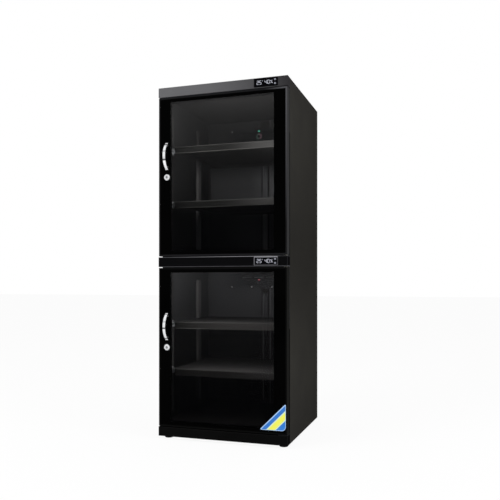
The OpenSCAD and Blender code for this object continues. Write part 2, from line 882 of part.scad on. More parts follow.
// Push button: a cap through the bezel and a stop flange behind it
module display_button(fascia_z, fascia_h, side) {
    z = fascia_z + fascia_h / 2 + side * button_z;
    color("#c9ccd2") place() translate([display_x + button_x, 0, z]) {
        along_y(bezel_y - button_proud, face_back + play) round_rect(button_w, button_h, button_round);
        along_y(face_back + play, face_back + play + button_flange)
            round_rect(button_w + 2 * button_flange, button_h + 2 * button_flange, button_round);
    }
}

function plate_screw_xs() = [for (i = [0 : plate_screw_count - 1])
    i * plate_screw_pitch - plate_screw_left];

// Drying unit, drawn from its centre on the inside of the back panel
module dryer_place(i) {
    place() translate([0, back_in - plate_t, dryer_zs[i]]) children();
}

// The lower unit's plate is turned over, so that its screws lie below the housing
module plate_place(i) {
    dryer_place(i) mirror([0, 0, (1 - dryer_turns[i]) / 2]) children();
}

// Carrier plates with three vent slots each, screwed on along one edge
module dryer_plates() {
    color("#3a3938") for (i = [0, 1]) plate_place(i) difference() {
        block([-plate_w / 2, 0, -plate_near], [plate_w / 2, plate_t, plate_far]);
        for (x = [-1, 0, 1]) translate([x * vent_slot_pitch, 0, dryer_turns[i] * vent_slot_z]) block(
            [-vent_slot_w / 2, -over, -vent_slot_h / 2],
            [vent_slot_w / 2, plate_t + over, vent_slot_h / 2]);
        for (x = plate_screw_xs()) translate([x, 0, plate_screw])
            rod_y(screw_r, -over, plate_t + over);
    }
}

// Heights of the shutter's edges while it is open
function shutter_low() = vent_slot_z - vent_slot_h / 2 - shutter_travel - shutter_edge;
function shutter_high() = vent_slot_z + vent_slot_h / 2 + shutter_bar;

// Housing of the drying unit; two rails inside its front stop the shutter
module dryer_case(i) {
    rail_back = -dryer_d + dryer_wall + play + shutter_t;
    top_rail = shutter_high() + shutter_travel + play;
    color("#252628") dryer_place(i) difference() {
        union() {
            difference() {
                along_y(-dryer_d, 0) round_rect(dryer_w, dryer_h, dryer_round);
                block([-dryer_w / 2 + dryer_wall, -dryer_d + dryer_wall, -dryer_h / 2 + dryer_wall],
                    [dryer_w / 2 - dryer_wall, over, dryer_h / 2 - dryer_wall]);
            }
            for (span = [[shutter_low() - play - dryer_wall / 2, shutter_low() - play],
                [top_rail, dryer_h / 2 - dryer_wall + press]])
                block([-dryer_w / 2 + press, -dryer_d + dryer_wall - press, span[0]],
                    [dryer_w / 2 - press, rail_back, span[1]]);
        }
        for (x = [-1, 0, 1]) translate([x * vent_slot_pitch, 0, vent_slot_z]) block(
            [-vent_slot_w / 2, -dryer_d - over, -vent_slot_h / 2],
            [vent_slot_w / 2, -dryer_d + dryer_wall + over, vent_slot_h / 2]);
        for (z = [red_lamp_z, green_lamp_z]) translate([0, 0, z])
            rod_y(lamp_r, -dryer_d - over, -dryer_d + dryer_wall + over);
    }
}

// Block of desiccant in its cradle on the case's floor
module desiccant_blocks() {
    floor_z = -dryer_h / 2 + dryer_wall;
    block_low = floor_z + cradle_h;
    color("#b9b3a0") for (i = [0, 1]) dryer_place(i) translate([0, -dryer_d / 2, 0]) {
        block([-block_w / 2, -block_d / 2, block_low], [block_w / 2, block_d / 2, block_low + block_h]);
        for (x = [-1, 1]) translate([x * block_w / 3, 0, 0])
            block([-block_d / 2, -block_d / 2, floor_z], [block_d / 2, block_d / 2, block_low]);
    }
}

// Domed lamps in the front of each drying unit: one of them low, one high
module dryer_lamps() {
    color("#35c28b") for (i = [0, 1], z = [red_lamp_z, green_lamp_z]) dryer_place(i)
        translate([0, -dryer_d, z]) {
            rod_y(lamp_r - press, 0, dryer_wall);
            rotate([90, 0, 0]) cylinder(r1 = lamp_r, r2 = lamp_r / 2, h = lamp_proud);
        }
}

// Ring moulding that frames the low lamp
module lamp_rings() {
    color("#6d7274") for (i = [0, 1]) dryer_place(i) translate([0, -dryer_d, ring_z]) difference() {
        rotate([90, 0, 0]) cylinder(r1 = ring_r, r2 = ring_r - chamfer, h = ring_t);
        rod_y(ring_hole_r, -ring_t - over, over);
    }
}

// Shutter: a front and a rear blade with windows, joined at both ends; it lifts to close
module shutter(i) {
    half = dryer_w / 2 - dryer_wall - play;
    front_blade = -dryer_d + dryer_wall + play;
    rear_blade = -play - shutter_t;
    color("#8a8d86") dryer_place(i) difference() {
        union() {
            for (y = [front_blade, rear_blade])
                block([-half, y, shutter_low()], [half, y + shutter_t, shutter_high()]);
            for (x = [-half, half - shutter_t]) block([x, front_blade, shutter_low()],
                [x + shutter_t, rear_blade + shutter_t, shutter_high()]);
        }
        for (x = [-1, 0, 1]) translate([x * vent_slot_pitch, 0, vent_slot_z]) block(
            [-vent_slot_w / 2, front_blade - over, -vent_slot_h / 2],
            [vent_slot_w / 2, rear_blade + shutter_t + over, vent_slot_h / 2]);
    }
}

// Pan heads in front of the carrier plates
module dryer_screws() {
    color("#c4c6c8") for (i = [0, 1]) plate_place(i)
        for (x = plate_screw_xs()) translate([x, 0, plate_screw]) {
            rod_y(screw_r - press, 0, plate_t);
            rotate([90, 0, 0])
                cylinder(r1 = screw_head_r, r2 = screw_head_r - chamfer, h = screw_head_t);
        }
}

// Capsules with three breathing slots each
module humidity_sensors() {
    color("#2b2c2e") for (i = [0, 1]) dryer_place(i) translate([sensor_x, 0, 0]) difference() {
        along_y(-sensor_d, 0) round_rect(sensor_w, sensor_h, dryer_round);
        for (z = [-1, 0, 1]) translate([0, 0, z * sensor_h / 4]) block(
            [-sensor_w / 3, -sensor_d - over, -dryer_wall / 2],
            [sensor_w / 3, -sensor_d / 2, dryer_wall / 2]);
    }
}

function louvre_zs() = [for (i = [0 : louvre_count - 1]) (i - (louvre_count - 1) / 2) * louvre_pitch];

// Louvred covers over the exhaust openings
module vent_covers() {
    color("#2c2b2a") place() for (z = dryer_zs) translate([0, shell_d, z]) difference() {
        union() {
            along_y(0, cover_t) round_rect(cover_w, cover_h, dryer_round);
            for (louvre = louvre_zs()) translate([0, 0, louvre])
                along_x(-louvre_w / 2, louvre_w / 2) polygon([
                    [cover_t, louvre_h / 2], [vent_reach, -louvre_h / 2], [cover_t, -louvre_h / 2]]);
        }
        for (louvre = louvre_zs()) translate([0, 0, louvre])
            along_x(-louvre_w / 2 + cover_t, louvre_w / 2 - cover_t) polygon([
                [-over, louvre_h / 2 - cover_t], [cover_t, louvre_h / 2 - cover_t],
                [vent_reach - cover_t, -louvre_h / 2 - over], [-over, -louvre_h / 2 - over]]);
    }
}

// Mains inlet with three flat pins in its mouth and two screwed ears
module power_inlet() {
    mouth_back = shell_d + inlet_t - inlet_mouth_d;
    color("#0e0e0f") place() translate([inlet_x, 0, inlet_z]) {
        difference() {
            union() {
                along_y(shell_d, shell_d + inlet_t) round_rect(inlet_w, inlet_h, dryer_round);
                block([-inlet_body_w / 2, shell_d + inlet_t - inlet_body_d, -inlet_body_h / 2],
                    [inlet_body_w / 2, shell_d, inlet_body_h / 2]);
            }
            block([-inlet_mouth_w / 2, mouth_back, -inlet_mouth_h / 2],
                [inlet_mouth_w / 2, shell_d + inlet_t + over, inlet_mouth_h / 2]);
            for (x = [-1, 1]) translate([x * inlet_screw, 0, 0])
                rod_y(back_screw_r + press, shell_d - over, shell_d + inlet_t + over);
        }
        for (x = [-1, 0, 1]) translate([x * inlet_pin_x, 0, (abs(x) == 1 ? -1 : 1) * inlet_pin_z])
            block([-inlet_pin_t / 2, mouth_back - press, -inlet_pin_w / 2],
                [inlet_pin_t / 2, mouth_back + inlet_pin_l, inlet_pin_w / 2]);
    }
}

// Supply on the deck's floor: a vented case with a lip all round and two ears
module power_supply() {
    ear = 14;
    rim = 2;
    color("#9b9d9f") place() translate([supply_x, supply_y, deck_bottom + sheet]) {
        difference() {
            union() {
                block([-supply_w / 2, 0, 0], [supply_w / 2, supply_d, supply_h - rim]);
                block([-supply_w / 2 - rim / 2, -rim / 2, supply_h - rim],
                    [supply_w / 2 + rim / 2, supply_d + rim / 2, supply_h]);
                for (s = [-1, 1]) translate([s * supply_w / 2, supply_d / 2, 0])
                    block([-ear, -ear, 0], [ear, ear, rim]);
            }
            for (i = [-3 : 3]) translate([i * ear, -over, supply_h / 2])
                block([-rim, 0, -supply_h / 4], [rim, rim + over, supply_h / 4]);
        }
    }
}

// Pan-head screw that enters along Y from behind
module pan_screw(l) {
    rod_y(back_screw_r, -l, 0);
    rotate([-90, 0, 0]) cylinder(r1 = back_head_r, r2 = back_head_r - chamfer, h = back_head_t);
}

// Screws down both edges of the back panel and in the inlet's ears
module back_screws() {
    color("#6f7173") place() {
        for (z = back_screw_zs(), x = [-1, 1])
            translate([x * (half_w - rear_flange / 2), shell_d, z]) pan_screw(3 * sheet);
        for (x = [-1, 1]) translate([inlet_x + x * inlet_screw, shell_d + inlet_t, inlet_z])
            pan_screw(inlet_t + sheet);
    }
}

left_side_panel();
right_side_panel();
back_panel();
top_panel();
middle_deck();
bottom_panel();
top_fascia();
middle_fascia();
plinth();
rubber_feet();
pilasters();
shelf_clips();
hinge_plates();
hinge_pins();
strike_plates();
display_case(top_fascia_z, top_fascia_h);  // upper_display_case
display_case(middle_fascia_z, middle_fascia_h);  // lower_display_case
display_windows();
display_boards();
dryer_case(0);  // upper_dryer_case
dryer_case(1);  // lower_dryer_case
dryer_plates();
desiccant_blocks();
dryer_lamps();
lamp_rings();
dryer_screws();
humidity_sensors();
vent_covers();
power_inlet();
power_supply();
back_screws();
door_frame(upper_door_z);  // upper_door_frame
door_glass(upper_door_z);  // upper_door_glass
door_gasket(upper_door_z);  // upper_door_gasket
door_handle(upper_door_z);  // upper_door_handle
door_fasteners(upper_door_z);  // upper_door_fasteners
lock_barrel(upper_door_z);  // upper_lock_barrel
hinge_bushes(upper_door_z);  // upper_hinge_bushes
door_frame(lower_door_z);  // lower_door_frame
door_glass(lower_door_z);  // lower_door_glass
door_gasket(lower_door_z);  // lower_door_gasket
door_handle(lower_door_z);  // lower_door_handle
door_fasteners(lower_door_z);  // lower_door_fasteners
lock_barrel(lower_door_z);  // lower_lock_barrel
hinge_bushes(lower_door_z);  // lower_hinge_bushes
lock_plug(upper_door_z);  // upper_lock_plug
lock_cam(upper_door_z);  // upper_lock_cam
lock_plug(lower_door_z);  // lower_lock_plug
lock_cam(lower_door_z);  // lower_lock_cam
display_button(top_fascia_z, top_fascia_h, 1);  // upper_mode_button
display_button(top_fascia_z, top_fascia_h, -1);  // upper_set_button
display_button(middle_fascia_z, middle_fascia_h, 1);  // lower_mode_button
display_button(middle_fascia_z, middle_fascia_h, -1);  // lower_set_button
shelf(shelf_zs()[0]);  // shelf_a
shelf(shelf_zs()[1]);  // shelf_b
shelf(shelf_zs()[2]);  // shelf_c
shelf(shelf_zs()[3]);  // shelf_d
shutter(0);  // upper_shutter
shutter(1);  // lower_shutter
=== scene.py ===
# Camera dry cabinet: finishes, display digits, door sticker, gaskets, light and camera
import bpy
import bmesh
import math
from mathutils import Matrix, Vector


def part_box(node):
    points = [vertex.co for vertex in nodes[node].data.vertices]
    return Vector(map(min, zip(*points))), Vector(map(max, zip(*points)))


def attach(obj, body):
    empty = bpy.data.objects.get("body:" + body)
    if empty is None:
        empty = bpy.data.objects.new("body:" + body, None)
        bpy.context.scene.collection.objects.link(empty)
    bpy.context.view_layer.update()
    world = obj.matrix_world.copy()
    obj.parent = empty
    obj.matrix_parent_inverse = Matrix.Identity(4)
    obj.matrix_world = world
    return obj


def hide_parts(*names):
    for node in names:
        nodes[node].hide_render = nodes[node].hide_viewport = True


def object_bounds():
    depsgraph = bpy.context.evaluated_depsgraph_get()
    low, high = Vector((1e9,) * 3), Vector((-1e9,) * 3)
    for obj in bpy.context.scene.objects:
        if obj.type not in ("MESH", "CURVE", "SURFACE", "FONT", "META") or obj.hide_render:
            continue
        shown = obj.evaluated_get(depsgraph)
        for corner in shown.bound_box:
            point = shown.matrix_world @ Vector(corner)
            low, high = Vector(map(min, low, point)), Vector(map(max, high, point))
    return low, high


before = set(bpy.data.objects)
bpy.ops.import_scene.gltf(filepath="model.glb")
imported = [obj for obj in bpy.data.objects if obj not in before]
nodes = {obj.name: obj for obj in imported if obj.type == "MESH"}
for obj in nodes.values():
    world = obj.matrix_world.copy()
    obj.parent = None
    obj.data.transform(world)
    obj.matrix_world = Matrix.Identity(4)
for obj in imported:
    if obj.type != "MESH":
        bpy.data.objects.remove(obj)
cadLow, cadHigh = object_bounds()
scene = bpy.context.scene
print("frame loaded:", len(nodes), "nodes")

camera = {
    "place": (0.9673, -2.857, 0.7026),
    "turn": 17.99,        # degrees to the left
    "lens": 45.28,
    "sensor": 36,
    "shiftUp": 0.0658,
    "reach": 200,
}


def makeCamera():
    data = bpy.data.cameras.new("photoCamera")
    data.lens = camera["lens"]
    data.sensor_width = camera["sensor"]
    data.shift_y = camera["shiftUp"]
    data.clip_end = camera["reach"]
    obj = bpy.data.objects.new("photoCamera", data)
    obj.location = camera["place"]
    obj.rotation_euler = (math.radians(90), 0, math.radians(camera["turn"]))
    scene.collection.objects.link(obj)
    scene.camera = obj


makeCamera()
scene.view_settings.view_transform = "Standard"
print("camera ready")


# a colour written as on screen, turned into the numbers that Blender works with
def tone(code):
    parts = [int(code[i:i + 2], 16) / 255 for i in (1, 3, 5)]
    return tuple(p / 12.92 if p < 0.04045 else ((p + 0.055) / 1.055) ** 2.4 for p in parts) + (1.0,)


class Wire:
    # an output socket that can stand in a sum
    def __init__(self, finish, socket):
        self.finish = finish
        self.socket = socket

    def apply(self, operation, *others):
        return self.finish.add("ShaderNodeMath", {"operation": operation}, dict(enumerate((self,) + others)))

    def __add__(self, other):
        return self.apply("ADD", other)

    def __sub__(self, other):
        return self.apply("SUBTRACT", other)

    def __rsub__(self, other):
        return self.finish.add("ShaderNodeMath", {"operation": "SUBTRACT"}, {0: other, 1: self})

    def __mul__(self, other):
        return self.apply("MULTIPLY", other)

    def __truediv__(self, other):
        return self.apply("DIVIDE", other)

    def __pow__(self, other):
        return self.apply("POWER", other)

    def __abs__(self):
        return self.apply("ABSOLUTE")

    __radd__ = __add__
    __rmul__ = __mul__

    def least(self, other):
        return self.apply("MINIMUM", other)

    def most(self, other):
        return self.apply("MAXIMUM", other)

    def clamp(self):
        return self.finish.add("ShaderNodeClamp", {}, {"Value": self})

    # 0 below start, 1 above end, a straight ramp between them
    def rise(self, start, end):
        return ((self - start) / (end - start)).clamp()

    # the same ramp, given by its two distances from a place
    def step(self, place, gaps):
        return self.rise(place + gaps[0], place + gaps[1])

    # 1 between low and high, with edges this soft
    def band(self, low, high, soft):
        return self.rise(low - soft, low + soft) * (1 - self.rise(high - soft, high + soft))


class Finish:
    # a material that is put together node by node
    def __init__(self, name):
        self.material = bpy.data.materials.new(name)
        self.material.use_nodes = True
        self.tree = self.material.node_tree
        self.tree.nodes.clear()
        self.output = self.tree.nodes.new("ShaderNodeOutputMaterial")
        self.axes = None

    def add(self, kind, settings, inputs, out=0):
        node = self.tree.nodes.new(kind)
        for key, value in settings.items():
            setattr(node, key, value)
        for key, value in inputs.items():
            if isinstance(value, Wire):
                self.tree.links.new(value.socket, node.inputs[key])
            else:
                node.inputs[key].default_value = value
        return Wire(self, node.outputs[out])

    def point(self):
        return self.add("ShaderNodeTexCoord", {}, {}, "Object")

    # the three coordinates on the cabinet, in metres
    def xyz(self):
        if self.axes is None:
            split = self.add("ShaderNodeSeparateXYZ", {}, {"Vector": self.point()})
            self.axes = [Wire(self, split.socket.node.outputs[i]) for i in range(3)]
        return self.axes

    def noise(self, scale, detail, stretch=None):
        place = self.point()
        if stretch:
            place = self.add("ShaderNodeVectorMath", {"operation": "MULTIPLY"}, {0: place, 1: stretch})
        return self.add("ShaderNodeTexNoise", {}, {"Vector": place, "Scale": scale, "Detail": detail}, "Fac")

    def mix(self, amount, first, second):
        return self.add("ShaderNodeMix", {"data_type": "RGBA"}, {0: amount, 6: first, 7: second}, 2)

    def bump(self, height, strength, distance):
        return self.add("ShaderNodeBump", {}, {"Height": height, "Strength": strength, "Distance": distance})

    # baseColor= goes into the input Base Color, specularIORLevel= into Specular IOR Level
    def shader(self, **inputs):
        names = {key: "".join(" " + c if c.isupper() else c for c in key).strip() for key in inputs}
        sockets = {names[key][0].upper() + names[key][1:]: value for key, value in inputs.items()}
        sockets = {key.replace("I O R", "IOR"): value for key, value in sockets.items()}
        return self.add("ShaderNodeBsdfPrincipled", {}, sockets)

    def done(self, surface):
        self.tree.links.new(surface.socket, self.output.inputs["Surface"])
        return self.material

    # 1 up to one distance from the edges of a box and 0 from the other on
    def edges(self, low, high, full, none):
        gaps = [abs(axis - a).least(abs(axis - b)) for axis, a, b in zip(self.xyz(), low, high)]
        marks = [1 - gaps[i].most(gaps[j]).rise(full, none) for i, j in ((0, 1), (1, 2), (0, 2))]
        return marks[0].most(marks[1]).most(marks[2])


dressed = set()


# puts the material on these nodes
def dress(material, *names):
    for name in names:
        slots = nodes[name].data.materials
        slots.clear()
        slots.append(material)
        dressed.add(name)


coat = {
    "peel": 700,                  # bumps of the powder coat, per metre
    "peelStrength": 0.35,
    "peelDepth": 0.00006,
    "cloud": 3.5,                 # slow cloudiness, per metre
    "cloudSpan": (0.35, 0.65),
    "speck": 1820,                # fine specks, per metre
    "speckSpan": (0.62, 0.75),
    "speckShare": 0.25,
    "edgeWidth": 0.0025,
    "edgeFull": 0.3,              # share of that width with the full tone
    "edgeShares": (0.45, 0.3),    # of the edge's tone: everywhere, and with the cloudiness
    "paintedLightShares": (0.96, 0.06),   # the same for painted light and shade
    "rough": 0.42,
    "roughCloud": 0.1,
    "roughSpeck": 0.08,
    "gloss": 0.0,
}


# powder coat: fine orange peel, slow cloudiness, and a painted highlight along the edges.
# colours = plain, shaded and at the edges, the last being a painted highlight; then pairs of a mask made from
# x, y and z and a colour, each a painted light or shade
def powderCoat(name, colours, box, tints=(), edgeWidth=coat["edgeWidth"], rough=coat["rough"]):
    paint = Finish(name)
    plain, shaded, edge = [tone(code) for code in colours]
    cloud = paint.noise(coat["cloud"], 3)
    grain = paint.noise(coat["peel"], 2)
    speck = paint.noise(coat["speck"], 1)
    base = paint.mix(cloud.rise(*coat["cloudSpan"]), plain, shaded)
    base = paint.mix(speck.rise(*coat["speckSpan"]) * coat["speckShare"], base, edge)
    always, clouded = coat["edgeShares"]
    edges = paint.edges(*box, edgeWidth * coat["edgeFull"], edgeWidth)
    base = paint.mix(edges * (always + clouded * cloud), base, edge)
    always, clouded = coat["paintedLightShares"]
    for mask, colour in tints:
        base = paint.mix(mask(*paint.xyz()) * (always + clouded * (cloud - 0.5)), base, tone(colour))
    roughness = rough + coat["roughCloud"] * (cloud - 0.5) + coat["roughSpeck"] * (speck - 0.5)
    return paint.done(paint.shader(
        baseColor=base, roughness=roughness, specularIORLevel=coat["gloss"],
        normal=paint.bump(grain, coat["peelStrength"], coat["peelDepth"])))


# the box round one or more nodes
def boxOf(*names):
    corners = [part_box(name) for name in names]
    low = [min(c[0][i] for c in corners) for i in range(3)]
    high = [max(c[1][i] for c in corners) for i in range(3)]
    return low, high


# coats these nodes; the bright edges are those of the box, which is their own if none is given
def paintPieces(name, colours, pieces, box=None, **extra):
    dress(powderCoat(name, colours, box or boxOf(*pieces), **extra), *pieces)


cadBox = (cadLow, cadHigh)
shellBox = boxOf("left_side_panel", "right_side_panel", "back_panel")
sideX, rearY, topZ = shellBox[1][0], shellBox[1][1], cadHigh[2]

# the bays behind the glass: lowest and highest point, and the tone of their walls, lighter or darker per bay
# as painted light and shade
bays = {
    "upperTop": (1.345, 1.6, "#434343"),
    "upperMiddle": (1.13, 1.345, "#303030"),
    "upperLow": (0.8, 1.13, "#2c2c2c"),
    "lowerTop": (0.505, 0.8, "#3a3a3b"),
    "lowerMiddle": (0.31, 0.505, "#161616"),
    "lowerLow": (0.0, 0.31, "#161617"),
}
baySoft = 0.004
# inner faces of the sheet metal, from the shell's outermost point on that side
skins = {
    "side": (-0.0008, -0.0003),
    "back": (-0.0039, -0.0035),
    "top": (-0.007, -0.003),
}
# the back panel's pressed rib: its middle and half its width in X, and where its flanks begin
rib = {
    "x": 0.022,
    "half": 0.018,
    "flank": (-0.0006, -0.0002),
    "depth": (-0.0008, -0.0004),
}


# 1 from the foot of the first bay to the top of the second
def inBays(z, first, last=None):
    return z.band(bays[first][0], bays[last or first][1], baySoft)


# 1 on the side panels' faces that look into the cabinet
def sideInside(x, y):
    return 1 - abs(x).step(sideX, skins["side"])


# 1 on the back panel's faces that look into the cabinet, with the rib's flanks
def backInside(x, y):
    flanks = abs(x - rib["x"]).step(rib["half"], rib["flank"]) * (1 - y.step(rearY, rib["depth"]))
    return flanks.most(1 - y.step(rearY, skins["back"]))


# 1 on the underside of the top panel
def topUnder(z):
    return 1 - z.step(topZ, skins["top"])


# an upright painted highlight on the back panel, this far from the rib's middle:
# it is gone at the first half width and full at the second
def ribHighlight(x, distance, none, full):
    return abs(x - rib["x"] - distance).rise(none, full)


# painted light and shade that show only where the inside mask is 1
def innerPaintedLight(inside, looks):
    return [(lambda x, y, z, mask=mask: inside(x, y) * mask(x, y, z), colour) for mask, colour in looks]


# painted light and shade: the walls of each bay take that bay's tone
bayLightAndShade = [(lambda x, y, z, name=name: inBays(z, name), bay[2]) for name, bay in bays.items()]

# painted light on the side walls of the lower compartment's top bay: lighter towards the rear and towards its
# top
sidePaintedLight = [
    (lambda x, y, z: y.rise(-0.15, 0.25) * inBays(z, "lowerTop"), "#4b4b4c"),
    (lambda x, y, z: y.rise(-0.24, -0.18) * z.rise(0.6, 0.77) * inBays(z, "lowerTop") * 0.8, "#545455"),
]

# the back panel: painted light and shade in each bay, then painted shade along the rib's edges and painted
# highlights beside them
rearLightAndShade = [
    (lambda x, y, z: inBays(z, "upperMiddle"), "#676768"),
    (lambda x, y, z: x.rise(-0.06, 0.04) * inBays(z, "upperMiddle"), "#8c8c8e"),
    (lambda x, y, z: z.rise(1.24, 1.32) * inBays(z, "upperMiddle") * 0.9, "#303031"),
    (lambda x, y, z: x.rise(-0.22, 0.1) * inBays(z, "upperLow"), "#8c8c8e"),
    (lambda x, y, z: ribHighlight(x, 0, 0.024, 0.016) * z.band(0.8, 1.1, 0.03) * 0.8, "#d0d0d2"),
    (lambda x, y, z: inBays(z, "lowerTop"), "#555557"),
    (lambda x, y, z: abs(abs(x - rib["x"]) - rib["half"]).rise(0.006, 0.003) * 0.8, "#161616"),
    (lambda x, y, z: ribHighlight(x, rib["half"] + 0.009, 0.005, 0.002) * 0.4, "#8a8a8c"),
    (lambda x, y, z: ribHighlight(x, 0.008 - rib["half"], 0.005, 0.002) * 0.4, "#8a8a8c"),
]
shellColours = ("#33322f", "#2e2d2b", "#403f3c")

# painted shade: outside, the side panels are darker at mid height and towards the rear
paintPieces("shellPaint", shellColours, ("left_side_panel", "right_side_panel"), shellBox, tints=[
    (lambda x, y, z: z.band(0.55, 1.15, 0.25) * 0.8, "#242321"),
    (lambda x, y, z: y.rise(-0.25, 0.32) * 0.55, "#252422"),
    *innerPaintedLight(sideInside, bayLightAndShade + sidePaintedLight)])
paintPieces("rearPaint", shellColours, ("back_panel",), tints=innerPaintedLight(backInside, bayLightAndShade + rearLightAndShade))
# painted shade and light: the top panel's underside is darker, and lighter towards the rear
paintPieces("topPaint", shellColours, ("top_panel",), shellBox, tints=[
    (lambda x, y, z: topUnder(z), "#262525"),
    (lambda x, y, z: topUnder(z) * y.rise(-0.25, 0.32), "#5e5d5c")])

# painted light: the vent covers' frontmost faces are pale, standing in for light seen through the louvres
coverLow = boxOf("vent_covers")[0]
paintPieces("coverPaint", ("#2e2d2b", "#2a2927", "#484743"), ("vent_covers",), tints=[
    (lambda x, y, z: 1 - y.step(coverLow[1], (0.0004, 0.0008)), "#dcdcdc")])

# painted light and shade: the top fascia is a lit copy of the fascia paint that darkens to the right, a
# painted sheen; the middle one is a near-black, shaded copy with painted highlights along its edges, the
# upper highlight fading at both ends
fasciaLow, fasciaHigh = boxOf("middle_fascia")
paintPieces("topFasciaPaint", ("#646466", "#5e5e60", "#7a7a7d"), ("top_fascia",), tints=[
    (lambda x, y, z: x.rise(-sideX, sideX) ** 1.8 * 0.97, "#282729")])
paintPieces("middleFasciaPaint", ("#0b0b0c", "#09090a", "#2c2c2f"), ("middle_fascia",), tints=[
    (lambda x, y, z: 1 - z.step(fasciaLow[2], (0.001, 0.002)), "#66666a"),
    (lambda x, y, z: z.step(fasciaHigh[2], (-0.003, -0.001)) * (0.3 + 0.7 * x.rise(-0.25, 0.05))
     * (1 - 0.9 * x.rise(0.22, 0.27)), "#8c8c90")])
# painted shade: the plinth's front is a near-black, shaded copy of the fascia paint
paintPieces("plinthPaint", ("#0e0e0e", "#0b0b0b", "#1c1c1c"), ("plinth",))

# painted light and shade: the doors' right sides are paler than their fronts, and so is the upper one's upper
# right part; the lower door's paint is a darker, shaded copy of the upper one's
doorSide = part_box("upper_door_frame")[1][0]
doorSkin = (-0.0004, -0.0002)
paintPieces("upperDoorPaint", ("#1b1b1c", "#171718", "#26262a"), ("upper_door_frame",), tints=[
    (lambda x, y, z: z.rise(0.95, 1.5) * x.rise(0.2, 0.28), "#49494c"),
    (lambda x, y, z: x.step(doorSide, doorSkin), "#333334")])
paintPieces("lowerDoorPaint", ("#0e0e0e", "#0b0b0b", "#161616"), ("lower_door_frame",), tints=[
    (lambda x, y, z: x.step(doorSide, doorSkin), "#1e1e1d")])

paintPieces("linerPaint", ("#3c3b3a", "#383736", "#4a4948"), ("middle_deck", "bottom_panel"), cadBox,
            rough=0.5)
paintPieces("hingePaint", ("#2e2e2f", "#272728", "#3a3a3b"), ("hinge_plates",))


# 1 on the rear pilasters
def rearOnes(y):
    return y.rise(-0.05, 0.05)


# 1 on the front pilasters
def frontOnes(y):
    return 1 - y.rise(-0.1, 0.0)


# painted light and shade: the rear pilasters are lighter than the front ones, and all are darker at the top
# of the middle bay, a painted shadow
paintPieces("pilasterPaint", ("#5a5958", "#525150", "#6b6a69"), ("pilasters",), cadBox, rough=0.45, tints=[
    (lambda x, y, z: rearOnes(y) * inBays(z, "upperLow", "upperMiddle"), "#8c8b8a"),
    (lambda x, y, z: rearOnes(y) * z.band(0.8, 1.07, 0.03), "#c0bfbe"),
    (lambda x, y, z: rearOnes(y) * inBays(z, "lowerTop"), "#7a7978"),
    (lambda x, y, z: frontOnes(y) * inBays(z, "lowerTop", "upperMiddle"), "#3c3b3a"),
    (lambda x, y, z: z.rise(1.25, 1.31) * inBays(z, "upperMiddle") * 0.9, "#3a3a3a")])
# painted light: the plate is lighter below 1 m, on the lower unit
paintPieces("unitPlatePaint", ("#3a3a3b", "#353536", "#4c4c4d"), ("dryer_plates",), cadBox, rough=0.45,
            tints=[(lambda x, y, z: 1 - z.rise(1.0, 1.1), "#4b4b4d")])

# shelf paint with painted light, darker at the left and lighter at the right, each shelf at its own level:
# its tone at the left, at the right, and where the change begins
shelfPaintedLight = {
    "a": ("#171716", "#595857", -0.02),
    "b": ("#1b1b1a", "#4f4e4d", -0.05),
    "c": ("#131312", "#252423", -0.3),
    "d": ("#262524", "#484746", -0.05),
}
shelfBlend = 0.28
for letter, (left, right, start) in shelfPaintedLight.items():
    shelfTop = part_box("shelf_" + letter)[1][2]
    looks = [
        (lambda x, y, z: x.rise(start, start + shelfBlend) ** 1.5, right),
        (lambda x, y, z: z.step(shelfTop, (-0.001, -0.0005)), "#4e4d4c"),     # painted highlight along the topmost edge
    ]
    paintPieces("shelfPaint" + letter.upper(), (left, left, "#605f5c"), ("shelf_" + letter,),
                tints=looks, edgeWidth=0.003)
print("painted sheet metal dressed")

metals = {
    "brush": 260,                 # brushing lines, per metre
    "brushSpan": (0.45, 0.8),
    "brushShare": 0.3,
    "brushDepth": 0.00003,
    "blotch": 30,                 # blotches, per metre
    "blotchSpan": (0.3, 0.7),
    "roughBrush": 0.12,
    "roughBlotch": 0.05,
    "rearSpan": (-0.02, 0.02),    # where the painted shade of the rear clips takes over, in Y
}
# brushing that is finest along one axis
fineX, fineY, fineZ = (9, 1, 1), (1, 9, 1), (1, 1, 9)


# bare or plated metal: fine brushing and faint blotches, and a painted shade towards the rear where asked
def plated(name, colour, shade, rough, brush=0.4, stretch=fineZ, rear=None, metallic=1.0):
    metal = Finish(name)
    lines = metal.noise(metals["brush"], 4, stretch)
    blotch = metal.noise(metals["blotch"], 3)
    base = metal.mix(blotch.rise(*metals["blotchSpan"]), tone(colour), tone(shade))
    base = metal.mix(lines.rise(*metals["brushSpan"]) * metals["brushShare"], base, tone(shade))
    if rear:
        base = metal.mix(metal.xyz()[1].rise(*metals["rearSpan"]), base, tone(rear))
    roughness = rough + metals["roughBrush"] * (lines - 0.5) + metals["roughBlotch"] * blotch
    return metal.done(metal.shader(
        baseColor=base, metallic=metallic, roughness=roughness,
        normal=metal.bump(lines, brush, metals["brushDepth"])))


handle = {
    "colours": ("#f1f2f3", "#d4d6d9"),
    "lines": 180,                 # polishing lines, per metre
    "linesStretch": (6, 1, 1),
    "linesSpan": (0.4, 0.7),
    "linesShare": 0.4,
    "linesBump": (0.2, 0.00002),
    "rough": 0.2,
    "roughLines": 0.1,
    # painted reflections on the bent strap: heights on the upper and lower door, half width, softness, share
    # and colour
    "faint": {"heights": (1.288, 0.530), "half": 0.004, "soft": 0.003, "share": 0.5, "colour": "#8d9094"},
    "dark": {"heights": (1.250, 0.5012), "half": 0.0035, "soft": 0.0015, "share": 0.92, "colour": "#2a2b2d"},
}


